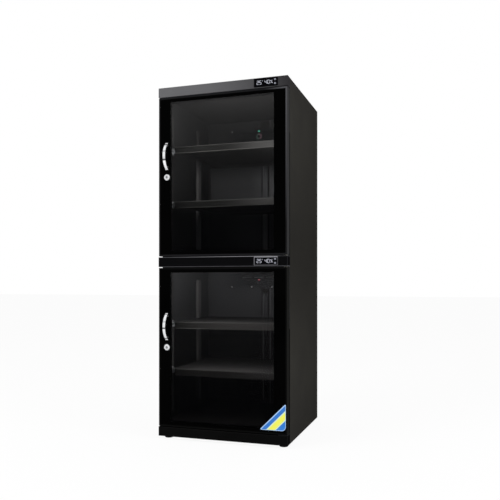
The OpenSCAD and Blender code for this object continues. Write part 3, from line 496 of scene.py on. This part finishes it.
# polished handle: bright, with a faint and a dark band of painted reflection where the bent strap turns, on
# each door
def polishedHandle():
    metal = Finish("handleChrome")
    z = metal.xyz()[2]
    lines = metal.noise(handle["lines"], 3, handle["linesStretch"])
    bright, dull = [tone(code) for code in handle["colours"]]
    base = metal.mix(lines.rise(*handle["linesSpan"]) * handle["linesShare"], bright, dull)
    for band in (handle["faint"], handle["dark"]):
        upper, lower = [z.band(h - band["half"], h + band["half"], band["soft"]) for h in band["heights"]]
        base = metal.mix(upper.most(lower) * band["share"], base, tone(band["colour"]))
    return metal.done(metal.shader(
        baseColor=base, metallic=1.0, roughness=handle["rough"] + handle["roughLines"] * lines,
        normal=metal.bump(lines, *handle["linesBump"])))


dress(polishedHandle(), "upper_door_handle", "lower_door_handle")
dress(plated("lockChrome", "#e9eaeb", "#c9cbcd", 0.22, 0.2, fineY), "upper_lock_barrel", "lower_lock_barrel")
dress(plated("plugSteel", "#a9abad", "#86888a", 0.3, 0.3, fineX), "upper_lock_plug", "lower_lock_plug")
dress(plated("zincSteel", "#a3a6a8", "#8a8d8f", 0.36), "hinge_pins", "strike_plates",
      "upper_lock_cam", "lower_lock_cam", "upper_door_fasteners", "lower_door_fasteners", "back_screws")
# painted shade: the rear shelf clips are dark
dress(plated("clipZinc", "#e2e4e6", "#bfc2c4", 0.4, rear="#2c2d2e", metallic=0.2), "shelf_clips")
dress(plated("screwZinc", "#f4f5f6", "#dcdee0", 0.5, metallic=0.1), "dryer_screws")
dress(plated("shutterSheet", "#a2a59e", "#8c8f89", 0.42, 0.5, fineY, metallic=0.3), "upper_shutter")
# painted light: the lower shutter is a much paler copy of the upper one
dress(plated("lowerShutterSheet", "#dfe2db", "#cdd0c9", 0.42, 0.5, fineY, metallic=0.1), "lower_shutter")
dress(plated("supplySheet", "#999c9e", "#85888a", 0.4, 0.5, fineX), "power_supply")
print("metals dressed")

plastics = {
    "mottle": 40,                 # slow mottling, per metre
    "mottleSpan": (0.3, 0.7),
    "spark": 1400,                # spark texture, per metre
    "sparkSpan": (0.55, 0.8),
    "sparkShare": 0.2,
    "sparkDepth": 0.00004,
    "roughSpark": 0.12,
}


# moulded plastic or rubber: fine spark texture and slight mottling
def moulded(name, colour, shade, rough, spark=plastics["spark"], relief=0.4, gloss=0.5):
    plastic = Finish(name)
    fine = plastic.noise(spark, 2)
    mottle = plastic.noise(plastics["mottle"], 3)
    base = plastic.mix(mottle.rise(*plastics["mottleSpan"]), tone(colour), tone(shade))
    base = plastic.mix(fine.rise(*plastics["sparkSpan"]) * plastics["sparkShare"], base, tone(shade))
    return plastic.done(plastic.shader(
        baseColor=base, roughness=rough + plastics["roughSpark"] * (fine - 0.5), specularIORLevel=gloss,
        normal=plastic.bump(fine, relief, plastics["sparkDepth"])))


bezel = {
    "colours": ("#050507", "#a0a0a6"),
    "line": (0.00176, 0.00286),           # the painted highlight's inner edge, from the outline
    "shares": (0.55, 0.2, 0.3, 1.0),      # its strength on the left, right, lower and upper side
    "front": (0.0014, 0.0016),
    "spark": 1500,
    "sparkBump": (0.2, 0.00003),
    "rough": 0.5,
    "roughSpark": 0.1,
    "gloss": 0.02,
}


# display housing: black, with a painted highlight along its raised bezel all round, shown in full on the
# lower display and not on the upper one
def bezelPlastic(name, node, line):
    plastic = Finish(name)
    low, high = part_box(node)
    x, y, z = plastic.xyz()
    fine = plastic.noise(bezel["spark"], 2)
    gaps = (x - low[0], high[0] - x, z - low[2], high[2] - z)
    rims = [(1 - gap.rise(*bezel["line"])) * share for gap, share in zip(gaps, bezel["shares"])]
    rim = rims[0].most(rims[1]).most(rims[2]).most(rims[3])
    front = 1 - y.step(low[1], bezel["front"])
    black, pale = [tone(code) for code in bezel["colours"]]
    return plastic.done(plastic.shader(
        baseColor=plastic.mix(rim * front * line, black, pale), specularIORLevel=bezel["gloss"],
        roughness=bezel["rough"] + bezel["roughSpark"] * fine,
        normal=plastic.bump(fine, *bezel["sparkBump"])))


dress(bezelPlastic("upperBezel", "upper_display_case", 0.0), "upper_display_case")
dress(bezelPlastic("lowerBezel", "lower_display_case", 1.0), "lower_display_case")
dress(moulded("windowPlastic", "#040406", "#030304", 0.3, relief=0.05, gloss=0.01), "display_windows")
dress(moulded("boardLacquer", "#1d5636", "#17472c", 0.35), "display_boards")
dress(moulded("buttonPlastic", "#84868f", "#787a83", 0.4, gloss=0.2), "upper_mode_button", "upper_set_button",
      "lower_mode_button", "lower_set_button")
dress(moulded("unitPlastic", "#232426", "#1e1f21", 0.5), "upper_dryer_case", "humidity_sensors")
# painted light: the lower unit's case is a lighter copy of the upper one's
dress(moulded("lowerUnitPlastic", "#333436", "#2d2e30", 0.5), "lower_dryer_case")
dress(moulded("inletPlastic", "#0f0f10", "#0b0b0c", 0.45), "power_inlet")
dress(moulded("bushPlastic", "#d9d4c6", "#c9c3b4", 0.45), "upper_hinge_bushes", "lower_hinge_bushes")
dress(moulded("footRubber", "#131313", "#0f0f0f", 0.75, 900, 0.7, 0.3), "rubber_feet")
dress(moulded("desiccantPellets", "#b9b3a0", "#9c9684", 0.9, 420, 1.0, 0.2), "desiccant_blocks")

lamps = {
    "green": "#52bf9e",
    "red": "#8a464f",
    "off": "#5b6063",
    "dark": "#000000",
    "span": (0.0065, 0.0075),     # height of the lit lamps, from the top and from the bottom
    "glow": 8.0,
    "grain": 900,
    "rough": 0.15,
    "roughGrain": 0.1,
}


# lamps: the highest one shows green, the lowest one red
def lampPlastic():
    lamp = Finish("lampPlastic")
    z = lamp.xyz()[2]
    low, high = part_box("dryer_lamps")
    near, far = lamps["span"]
    green = z.rise(high[2] - far, high[2] - near)
    red = 1 - z.rise(low[2] + near, low[2] + far)

    def lit(others):
        return lamp.mix(red, lamp.mix(green, tone(others), tone(lamps["green"])), tone(lamps["red"]))

    grain = lamp.noise(lamps["grain"], 1)
    return lamp.done(lamp.shader(
        baseColor=lit(lamps["off"]), roughness=lamps["rough"] + lamps["roughGrain"] * grain,
        emissionColor=lit(lamps["dark"]), emissionStrength=lamps["glow"]))


rings = {
    "mirrored": ("#b4f5e0", "#ffc4d6"),   # the upper ring's left and right half
    "plain": "#4a4c4e",
    "split": 1.1,                         # height between the two rings, and its softness
    "splitSoft": 0.01,
    "halves": (-0.003, 0.004),
    "grain": 1100,
    "grainBump": (0.2, 0.00003),
    "rough": 0.3,
    "roughGrain": 0.1,
}


# ring moulding: on the upper unit its left half mirrors a green light and its right half a pink one
def ringPlastic():
    ring = Finish("ringPlastic")
    x, y, z = ring.xyz()
    left, right = [tone(code) for code in rings["mirrored"]]
    upper = z.step(rings["split"], (-rings["splitSoft"], rings["splitSoft"]))
    base = ring.mix(upper, tone(rings["plain"]), ring.mix(x.rise(*rings["halves"]), left, right))
    grain = ring.noise(rings["grain"], 2)
    return ring.done(ring.shader(
        baseColor=base, roughness=rings["rough"] + rings["roughGrain"] * grain,
        normal=ring.bump(grain, *rings["grainBump"])))


dress(lampPlastic(), "dryer_lamps")
dress(ringPlastic(), "lamp_rings")
print("plastics, rubber and lamps dressed")

glass = {
    "clearHalf": 0.240,   # half width of the clear part
    "clearLow": 0.022,    # printed border below and above it
    "clearHigh": 0.021,
    "clearSoft": 0.0003,
    "border": "#010101",
    "tint": "#040405",
    "veils": ("#303030", "#202021"),  # painted reflection near the top, upper and lower door
    "reflectionPower": 2.5,
    # painted shade: the clear part lets less through lower down
    "topAlpha": 0.45,
    "bottomAlpha": 0.6,
    "cloud": 9,
    "rough": 0.04,
    "roughCloud": 0.05,
    "gloss": 0.01,
}


# tinted glass with a black border printed round its clear part, a painted reflection towards its top, and
# painted shade that lets less through towards its foot
def doorGlass(name, doorNode, veil):
    pane = Finish(name)
    low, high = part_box(doorNode)
    x, y, z = pane.xyz()
    soft = glass["clearSoft"]
    clear = 1 - abs(x).step(glass["clearHalf"], (-soft, soft))
    clear = clear * z.band(low[2] + glass["clearLow"], high[2] - glass["clearHigh"], soft)
    height = z.rise(low[2], high[2])
    seen = glass["bottomAlpha"] + (glass["topAlpha"] - glass["bottomAlpha"]) * height
    cloud = pane.noise(glass["cloud"], 3)
    film = pane.mix(height ** glass["reflectionPower"], tone(glass["tint"]), tone(veil))
    return pane.done(pane.shader(
        baseColor=pane.mix(clear, tone(glass["border"]), film), specularIORLevel=glass["gloss"],
        roughness=glass["rough"] + glass["roughCloud"] * cloud, alpha=1 - clear * (1 - seen)))


dress(doorGlass("upperGlass", "upper_door_frame", glass["veils"][0]), "upper_door_glass")
dress(doorGlass("lowerGlass", "lower_door_frame", glass["veils"][1]), "lower_door_glass")
print("glass dressed")


def newPiece(name, mesh, material, body):
    data = bpy.data.meshes.new(name)
    mesh.normal_update()
    mesh.to_mesh(data)
    mesh.free()
    data.materials.append(material)
    obj = bpy.data.objects.new(name, data)
    scene.collection.objects.link(obj)
    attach(obj, body)
    return obj


# a thin plate with this outline in X and Z, between two depths
def plate(mesh, outline, front, back):
    near = [mesh.verts.new((x, front, z)) for x, z in outline]
    far = [mesh.verts.new((x, back, z)) for x, z in outline]
    mesh.faces.new(near)
    mesh.faces.new(far[::-1])
    for i in range(len(outline)):
        j = (i + 1) % len(outline)
        mesh.faces.new((near[j], near[i], far[i], far[j]))


# points round a centre in X and Z, from one angle to another, in degrees
def arc(centreX, centreZ, radius, start, end, count):
    turns = [math.radians(start + (end - start) * i / count) for i in range(count + 1)]
    return [(centreX + radius * math.cos(turn), centreZ + radius * math.sin(turn)) for turn in turns]


digits = {
    "colours": ("#c2c4cf", "#a7a9b6"),
    "grain": 260,
    "grainSpan": (0.3, 0.7),
    "rough": 0.5,
    "roughGrain": 0.1,
    "glow": 0.1,
    "high": 0.0150,
    "wide": 0.0088,
    "bar": 0.0019,
    "gap": 0.0004,            # from a corner of the figure to a bar's tip
    "proud": 0.00013,         # in front of the case's foremost face, and behind it
    "sunk": 0.00001,
    "pairs": ((0.1640, "25"), (0.2000, "40")),
    "step": 0.0118,
}
degree = {
    "past": 0.0015,           # from the next figure's place
    "below": 0.001,           # from the figures' top
    "round": 0.0014,
}
percent = {
    "x": 0.2295,
    "dot": (-0.0028, 0.0042),
    "round": 0.0021,
    "slash": (0.0038, 0.0072),
    "bar": 0.0014,
}
discCorners = 14
litBars = {"0": "abcdef", "2": "abged", "4": "fgbc", "5": "afgcd"}


# one bar of a digit, with pointed ends
def barOutline(a, b, width, gap):
    (x0, z0), (x1, z1) = a, b
    length = math.hypot(x1 - x0, z1 - z0)
    ux, uz = (x1 - x0) / length, (z1 - z0) / length
    nx, nz = -uz * width / 2, ux * width / 2
    tip0 = (x0 + ux * gap, z0 + uz * gap)
    tip1 = (x1 - ux * gap, z1 - uz * gap)
    in0 = (x0 + ux * (gap + width / 2), z0 + uz * (gap + width / 2))
    in1 = (x1 - ux * (gap + width / 2), z1 - uz * (gap + width / 2))
    return [tip0, (in0[0] - nx, in0[1] - nz), (in1[0] - nx, in1[1] - nz), tip1,
            (in1[0] + nx, in1[1] + nz), (in0[0] + nx, in0[1] + nz)]


# the lit bars of one figure, its middle at height z
def digitBars(x, z, figure):
    w, h = digits["wide"], digits["high"]
    top, mid, low = z + h / 2, z, z - h / 2
    ends = {
        "a": ((x, top), (x + w, top)),
        "b": ((x + w, top), (x + w, mid)),
        "c": ((x + w, mid), (x + w, low)),
        "d": ((x, low), (x + w, low)),
        "e": ((x, mid), (x, low)),
        "f": ((x, top), (x, mid)),
        "g": ((x, mid), (x + w, mid)),
    }
    return [barOutline(*ends[bar], digits["bar"], digits["gap"]) for bar in litBars[figure]]


def discOutline(x, z, radius):
    return arc(x, z, radius, 0, 360, discCorners)[:-1]


# the degree dot behind the first number and the percent sign behind the second
def signOutlines(z):
    x = digits["pairs"][0][0] + 2 * digits["step"] + degree["past"]
    outlines = [discOutline(x, z + digits["high"] / 2 - degree["below"], degree["round"])]
    x = percent["x"]
    across, up = percent["dot"]
    outlines.append(discOutline(x + across, z + up, percent["round"]))
    outlines.append(discOutline(x - across, z - up, percent["round"]))
    across, up = percent["slash"]
    outlines.append(barOutline((x - across, z - up), (x + across, z + up), percent["bar"], 0))
    return outlines


def litFigure():
    lit = Finish("litFigure")
    grain = lit.noise(digits["grain"], 2)
    bright, dull = [tone(code) for code in digits["colours"]]
    base = lit.mix(grain.rise(*digits["grainSpan"]), bright, dull)
    return lit.done(lit.shader(
        baseColor=base, roughness=digits["rough"] + digits["roughGrain"] * grain,
        emissionColor=base, emissionStrength=digits["glow"]))


# plain figures on a display: two numbers, a degree dot and a percent sign
def makeDigits(name, caseNode, material):
    low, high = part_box(caseNode)
    z = (low[2] + high[2]) / 2
    outlines = []
    for start, figures in digits["pairs"]:
        for i, figure in enumerate(figures):
            outlines += digitBars(start + i * digits["step"], z, figure)
    outlines += signOutlines(z)
    mesh = bmesh.new()
    for outline in outlines:
        plate(mesh, outline, low[1] - digits["proud"], low[1] + digits["sunk"])
    newPiece(name, mesh, material, "cabinet")


litPaint = litFigure()
makeDigits("upperFigures", "upper_display_case", litPaint)
makeDigits("lowerFigures", "lower_display_case", litPaint)
print("display figures made")

sticker = {
    "corner": (0.292, 0.0765),        # right-angled corner in X and Z
    "leg": 0.116,
    "round": 0.018,
    "tipRound": 0.003,
    "tipBack": 2.4,                   # from a leg's end to its tip's centre, in tip radii
    "thick": 0.00015,
    "offGlass": 0.00001,
    "border": 0.0022,
    "borderSoft": 0.0005,
    "borderTone": "#a9c9ee",
    # start, end and softness in shares of the leg, and the tone: pale lines first, then the bands on them
    "bands": (
        (0.15, 0.7, 0.02, "#d6ebc2"),
        (0.05, 0.24, 0.006, "#1d6fc6"),
        (0.30, 0.55, 0.006, "#eeec5c"),
        (0.60, 2.0, 0.006, "#2476ce"),
    ),
    "fade": 25,
    "fadeSpan": (0.4, 0.8),
    "fadeShare": 0.06,
    "fadeTone": "#d7e4f5",
    "rough": 0.3,
    "roughFade": 0.1,
    "gloss": 0.3,
}


# printed film: bands across the corner, inside a border that follows the rounded corner
def stickerFilm():
    film = Finish("stickerFilm")
    x, y, z = film.xyz()
    cornerX, cornerZ = sticker["corner"]
    along = ((x - z) - (cornerX - sticker["leg"] - cornerZ)) / sticker["leg"]
    pastX = (x - (cornerX - sticker["round"])).most(0)
    pastZ = ((cornerZ + sticker["round"]) - z).most(0)
    toEdge = sticker["round"] - (pastX * pastX + pastZ * pastZ) ** 0.5
    inside = toEdge.step(sticker["border"], (-sticker["borderSoft"], sticker["borderSoft"]))
    fade = film.noise(sticker["fade"], 2)
    base = tone(sticker["borderTone"])
    for start, end, soft, colour in sticker["bands"]:
        base = film.mix(along.band(start, end, soft) * inside, base, tone(colour))
    base = film.mix(fade.rise(*sticker["fadeSpan"]) * sticker["fadeShare"], base, tone(sticker["fadeTone"]))
    return film.done(film.shader(
        baseColor=base, roughness=sticker["rough"] + sticker["roughFade"] * fade,
        specularIORLevel=sticker["gloss"]))


# three-cornered sticker low on the lower door, with plain bands
def makeSticker():
    x, z = sticker["corner"]
    leg, r, t = sticker["leg"], sticker["round"], sticker["tipRound"]
    back = t * sticker["tipBack"]
    outline = arc(x - r, z + r, r, -90, 0, 10)
    outline += arc(x - t, z + leg - back, t, 0, 135, 8)
    outline += arc(x - leg + back, z + t, t, 135, 270, 8)
    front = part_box("lower_door_glass")[0][1]
    mesh = bmesh.new()
    plate(mesh, outline, front - sticker["thick"], front - sticker["offGlass"])
    newPiece("doorSticker", mesh, stickerFilm(), "lower_door")


makeSticker()
print("sticker made")

gasket = {
    "profile": (          # across the seal in shares of its width and height
        (0.04, 0.0), (0.96, 0.0), (0.97, 0.16), (0.80, 0.24), (0.66, 0.30), (0.80, 0.42), (0.88, 0.60),
        (0.86, 0.82), (0.74, 0.96), (0.50, 1.0), (0.26, 0.96), (0.14, 0.82), (0.12, 0.60), (0.20, 0.42),
        (0.34, 0.30), (0.20, 0.24), (0.03, 0.16)),
    "width": 0.008,
}


# magnetic door seal: a flat foot, a waist and a rounded head, mitred at the corners
def makeGasket(name, node, body, material):
    low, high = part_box(node)
    depth = high[1] - low[1]
    mesh = bmesh.new()
    corners = []
    for cornerX, cornerZ, inX, inZ in ((low[0], low[2], 1, 1), (high[0], low[2], -1, 1),
                                       (high[0], high[2], -1, -1), (low[0], high[2], 1, -1)):
        corner = []
        for across, up in gasket["profile"]:
            shift = across * gasket["width"]
            corner.append(mesh.verts.new((cornerX + inX * shift, low[1] + up * depth, cornerZ + inZ * shift)))
        corners.append(corner)
    for i, a in enumerate(corners):
        b = corners[(i + 1) % len(corners)]
        for j in range(len(a)):
            k = (j + 1) % len(a)
            face = mesh.faces.new((a[j], a[k], b[k], b[j]))
            face.smooth = True
    bmesh.ops.recalc_face_normals(mesh, faces=mesh.faces[:])
    obj = newPiece(name, mesh, material, body)
    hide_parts(node)


sealRubber = moulded("sealRubber", "#1a1a1b", "#141415", 0.65, 800, 0.6, 0.3)
makeGasket("upperSeal", "upper_door_gasket", "upper_door", sealRubber)
makeGasket("lowerSeal", "lower_door_gasket", "lower_door", sealRubber)
print("door seals made")

# place, aim, width and height, and watts
light = {
    "key": ((-2.6, -3.4, 2.9), (0, 0, 0.9), (2.4, 2.4), 110),
    "side": ((3.6, -1.2, 2.2), (0.3, 0, 0.8), (2.6, 2.6), 70),
    "upperInside": ((0, -0.262, 1.28), (0, 0.3, 1.28), (0.46, 0.46), 3.9),
    "lowerInside": ((0, -0.262, 0.54), (0, 0.3, 0.54), (0.46, 0.42), 3.6),
}


# a soft rectangular light at its place, turned to its aim
def softLight(name, place, aim, size, power):
    data = bpy.data.lights.new(name, "AREA")
    data.shape = "RECTANGLE"
    data.size, data.size_y = size
    data.energy = power
    obj = bpy.data.objects.new(name, data)
    obj.location = place
    toward = [a - b for a, b in zip(aim, place)]
    flat = math.hypot(toward[0], toward[1])
    obj.rotation_euler = (math.atan2(flat, -toward[2]), 0, math.atan2(-toward[0], toward[1]))
    obj.visible_camera = False
    obj.visible_glossy = False
    scene.collection.objects.link(obj)


for name, facts in light.items():
    softLight(name, *facts)

studio = {
    "world": 0.55,            # strength on the cabinet; the camera sees 1
    "floorHalf": 30,
    "floorTones": ("#ffffff", "#f8f8f8"),
    "floorGrain": 6,
    "floorGrainShare": 0.15,
    "floorRough": 0.9,
    "floorSeen": 0.92,        # share of plain white where the camera looks at the floor
}


# white to the camera, in reflections and through glass, and softer as light
def makeWorld():
    world = bpy.data.worlds.new("paleStudio")
    scene.world = world
    world.use_nodes = True
    tree = world.node_tree
    tree.nodes.clear()
    path = tree.nodes.new("ShaderNodeLightPath")
    seen = path.outputs["Is Camera Ray"]
    for ray in ("Is Transmission Ray", "Is Glossy Ray"):
        either = tree.nodes.new("ShaderNodeMath")
        either.operation = "MAXIMUM"
        tree.links.new(seen, either.inputs[0])
        tree.links.new(path.outputs[ray], either.inputs[1])
        seen = either.outputs[0]
    strength = tree.nodes.new("ShaderNodeMapRange")
    tree.links.new(seen, strength.inputs["Value"])
    strength.inputs["To Min"].default_value = studio["world"]
    strength.inputs["To Max"].default_value = 1.0
    shade = tree.nodes.new("ShaderNodeBackground")
    shade.inputs["Color"].default_value = (1, 1, 1, 1)
    tree.links.new(strength.outputs["Result"], shade.inputs["Strength"])
    end = tree.nodes.new("ShaderNodeOutputWorld")
    tree.links.new(shade.outputs[0], end.inputs["Surface"])


makeWorld()


# pale floor that shows white to the camera and still takes the shadow
def makeFloor():
    mesh = bmesh.new()
    bmesh.ops.create_grid(mesh, x_segments=8, y_segments=8, size=studio["floorHalf"])
    data = bpy.data.meshes.new("floor")
    mesh.to_mesh(data)
    mesh.free()
    floor = Finish("floorCard")
    plain, shaded = [tone(code) for code in studio["floorTones"]]
    grain = floor.noise(studio["floorGrain"], 2)
    base = floor.mix(grain * studio["floorGrainShare"], plain, shaded)
    card = floor.shader(baseColor=base, roughness=studio["floorRough"])
    white = floor.add("ShaderNodeEmission", {}, {"Strength": 1.0})
    seen = floor.add("ShaderNodeLightPath", {}, {}, "Is Camera Ray") * studio["floorSeen"]
    data.materials.append(floor.done(floor.add("ShaderNodeMixShader", {}, {0: seen, 1: card, 2: white})))
    obj = bpy.data.objects.new("floor", data)
    scene.collection.objects.link(obj)


makeFloor()
print("light and floor ready")

replaced = {"upper_door_gasket", "lower_door_gasket"}
print("nodes without a finish:", sorted(set(nodes) - dressed - replaced))
